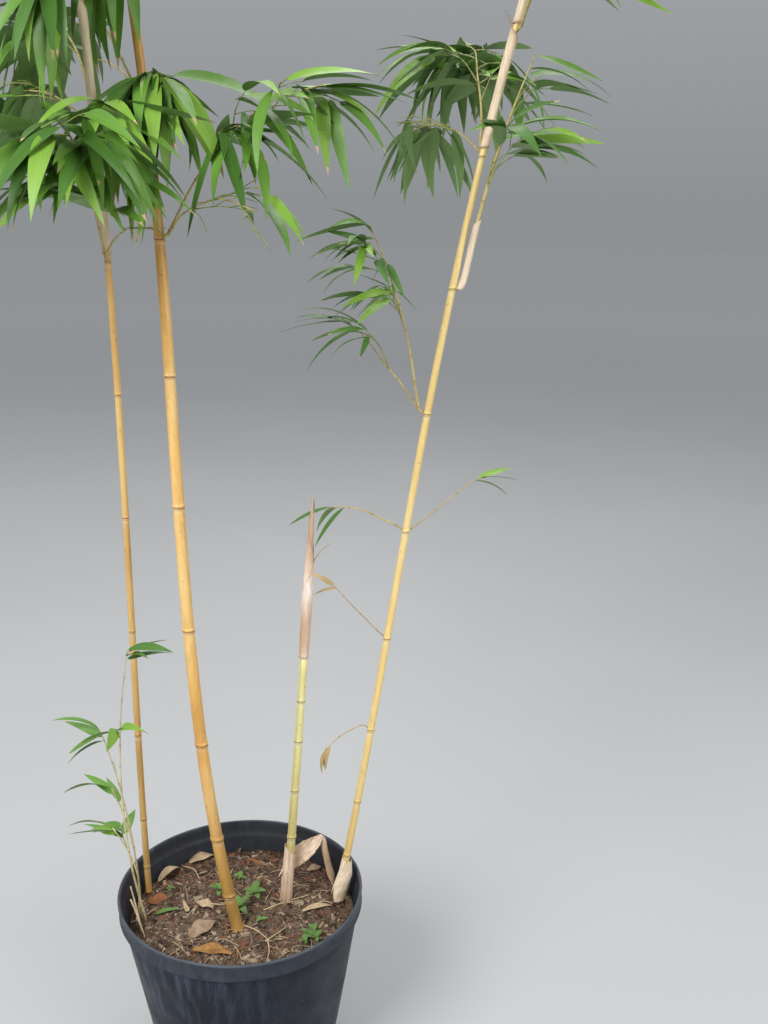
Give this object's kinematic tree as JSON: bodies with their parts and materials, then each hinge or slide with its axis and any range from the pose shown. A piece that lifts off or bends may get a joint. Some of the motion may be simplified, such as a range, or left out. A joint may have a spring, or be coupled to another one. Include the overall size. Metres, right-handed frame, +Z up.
{
  "type": "potted bamboo",
  "caption": "Tall golden-stemmed bamboo with a young shoot and thin side stems, leafy above, growing in a round black nursery pot.",
  "frame": {"origin": "centre of the pot's flat underside, on the surface that the pot stands on", "axes": "+Z up along the plant, +X to the picture's right, +Y away from the picture's camera"},
  "size_m": [1.473, 0.9446, 3.0133],
  "materials": {
    "pot_plastic": "matte",
    "soil": "matte",
    "golden_cane": "satin",
    "young_cane": "satin",
    "sheath": "matte",
    "husk": "matte",
    "dry_twig": "matte",
    "foliage": "satin"
  },
  "bodies": {
    "root": {"pot": "pot_plastic", "soil": "soil", "culm_left": "golden_cane", "culm_thick": "golden_cane", "culm_right": "golden_cane", "young_shoot": "young_cane", "shoot_tip": "sheath", "sheath_left_1": "sheath", "sheath_left_2": "sheath", "sheath_left_3": "sheath", "sheath_right_1": "sheath", "sheath_right_2": "sheath", "husk_shoot": "husk", "husk_right": "husk", "husk_peeled": "husk", "foliage_left_1": "foliage", "foliage_left_2": "foliage", "foliage_left_3": "foliage", "foliage_left_4": "foliage", "foliage_left_5": "foliage", "foliage_left_6": "foliage", "foliage_left_top": "foliage", "foliage_thick_1": "foliage", "foliage_thick_2": "foliage", "foliage_thick_3": "foliage", "foliage_thick_4": "foliage", "foliage_thick_5": "foliage", "foliage_thick_6": "foliage", "foliage_thick_7": "foliage", "foliage_thick_top": "foliage", "foliage_right_1": "foliage", "foliage_right_2": "foliage", "foliage_right_3": "foliage", "foliage_right_4": "foliage", "foliage_right_5": "foliage", "foliage_right_6": "foliage", "foliage_right_top": "foliage", "dry_twig_1": "dry_twig", "dry_twig_2": "dry_twig", "low_branch_1": "foliage", "low_branch_2": "foliage", "side_shoot": "foliage", "side_culm_1": "foliage", "side_culm_2": "foliage", "side_culm_3": "foliage", "side_culm_4": "foliage"}
  },
  "joints": []
}
